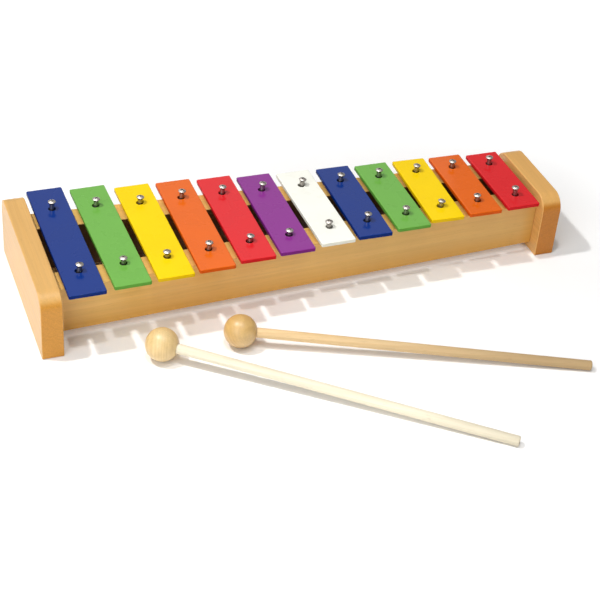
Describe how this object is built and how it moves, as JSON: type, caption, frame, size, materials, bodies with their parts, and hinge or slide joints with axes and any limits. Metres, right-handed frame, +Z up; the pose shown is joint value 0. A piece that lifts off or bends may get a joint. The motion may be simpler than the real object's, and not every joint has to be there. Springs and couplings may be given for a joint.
{
  "type": "toy metallophone",
  "caption": "Toy metallophone with loose painted metal bars screwed over felt washers to a tapered wooden frame, and two wooden ball mallets.",
  "frame": {"origin": "Middle of the footprint of the whole set, instrument and both mallets, on the table.", "axes": "+X runs along the row from the longest, lowest bar to the shortest; +Y points from the player's side to the back; +Z is up."},
  "size_m": [0.3934, 0.2958, 0.0546],
  "materials": {
    "frame_wood": "clear satin lacquer on light pine",
    "dowel_wood": "plain beech",
    "mallet_ball_wood": "turned wood, clear satin lacquer",
    "mallet_stick_wood": "smooth bare wood",
    "felt": "pressed felt",
    "screw_metal": "bright nickel plate",
    "paint_blue": "gloss powder coat",
    "paint_green": "gloss powder coat",
    "paint_yellow": "gloss powder coat",
    "paint_orange": "gloss powder coat",
    "paint_red": "gloss powder coat",
    "paint_purple": "gloss powder coat",
    "paint_white": "gloss powder coat"
  },
  "bodies": {
    "frame": {"end_block_left": "frame_wood", "end_block_right": "frame_wood", "rail_front": "frame_wood", "rail_rear": "frame_wood", "dowels_left": "dowel_wood", "dowels_right": "dowel_wood", "felt_washers_front": "felt", "felt_washers_rear": "felt", "screws_front": "screw_metal", "screws_rear": "screw_metal"},
    "bar_01_blue_body": {"bar_01_blue": "paint_blue"},
    "bar_02_green_body": {"bar_02_green": "paint_green"},
    "bar_03_yellow_body": {"bar_03_yellow": "paint_yellow"},
    "bar_04_orange_body": {"bar_04_orange": "paint_orange"},
    "bar_05_red_body": {"bar_05_red": "paint_red"},
    "bar_06_purple_body": {"bar_06_purple": "paint_purple"},
    "bar_07_white_body": {"bar_07_white": "paint_white"},
    "bar_08_blue_body": {"bar_08_blue": "paint_blue"},
    "bar_09_green_body": {"bar_09_green": "paint_green"},
    "bar_10_yellow_body": {"bar_10_yellow": "paint_yellow"},
    "bar_11_orange_body": {"bar_11_orange": "paint_orange"},
    "bar_12_red_body": {"bar_12_red": "paint_red"},
    "mallet_1": {"mallet_1_head": "mallet_ball_wood", "mallet_1_stick": "mallet_stick_wood"},
    "mallet_2": {"mallet_2_head": "mallet_ball_wood", "mallet_2_stick": "mallet_stick_wood"}
  },
  "joints": [
    {"name": "bar_01_blue_lift", "type": "slide", "parent": "frame", "child": "bar_01_blue_body", "axis": [0, 0, 1], "range_m": [0, 0.0036]},
    {"name": "bar_02_green_lift", "type": "slide", "parent": "frame", "child": "bar_02_green_body", "axis": [0, 0, 1], "range_m": [0, 0.0027]},
    {"name": "bar_03_yellow_lift", "type": "slide", "parent": "frame", "child": "bar_03_yellow_body", "axis": [0, 0, 1], "range_m": [0, 0.0026]},
    {"name": "bar_04_orange_lift", "type": "slide", "parent": "frame", "child": "bar_04_orange_body", "axis": [0, 0, 1], "range_m": [0, 0.0039]},
    {"name": "bar_05_red_lift", "type": "slide", "parent": "frame", "child": "bar_05_red_body", "axis": [0, 0, 1], "range_m": [0, 0.0028]},
    {"name": "bar_06_purple_lift", "type": "slide", "parent": "frame", "child": "bar_06_purple_body", "axis": [0, 0, 1], "range_m": [0, 0.0019]},
    {"name": "bar_07_white_lift", "type": "slide", "parent": "frame", "child": "bar_07_white_body", "axis": [0, 0, 1], "range_m": [0, 0.0029]},
    {"name": "bar_08_blue_lift", "type": "slide", "parent": "frame", "child": "bar_08_blue_body", "axis": [0, 0, 1], "range_m": [0, 0.0034]},
    {"name": "bar_09_green_lift", "type": "slide", "parent": "frame", "child": "bar_09_green_body", "axis": [0, 0, 1], "range_m": [0, 0.0036]},
    {"name": "bar_10_yellow_lift", "type": "slide", "parent": "frame", "child": "bar_10_yellow_body", "axis": [0, 0, 1], "range_m": [0, 0.0028]},
    {"name": "bar_11_orange_lift", "type": "slide", "parent": "frame", "child": "bar_11_orange_body", "axis": [0, 0, 1], "range_m": [0, 0.0031]},
    {"name": "bar_12_red_lift", "type": "slide", "parent": "frame", "child": "bar_12_red_body", "axis": [0, 0, 1], "range_m": [0, 0.004]},
    {"name": "mallet_1_pick_up", "type": "slide", "parent": "frame", "child": "mallet_1", "axis": [0, 0, 1], "range_m": [0, 0.12]},
    {"name": "mallet_2_pick_up", "type": "slide", "parent": "frame", "child": "mallet_2", "axis": [0, 0, 1], "range_m": [0, 0.12]}
  ]
}
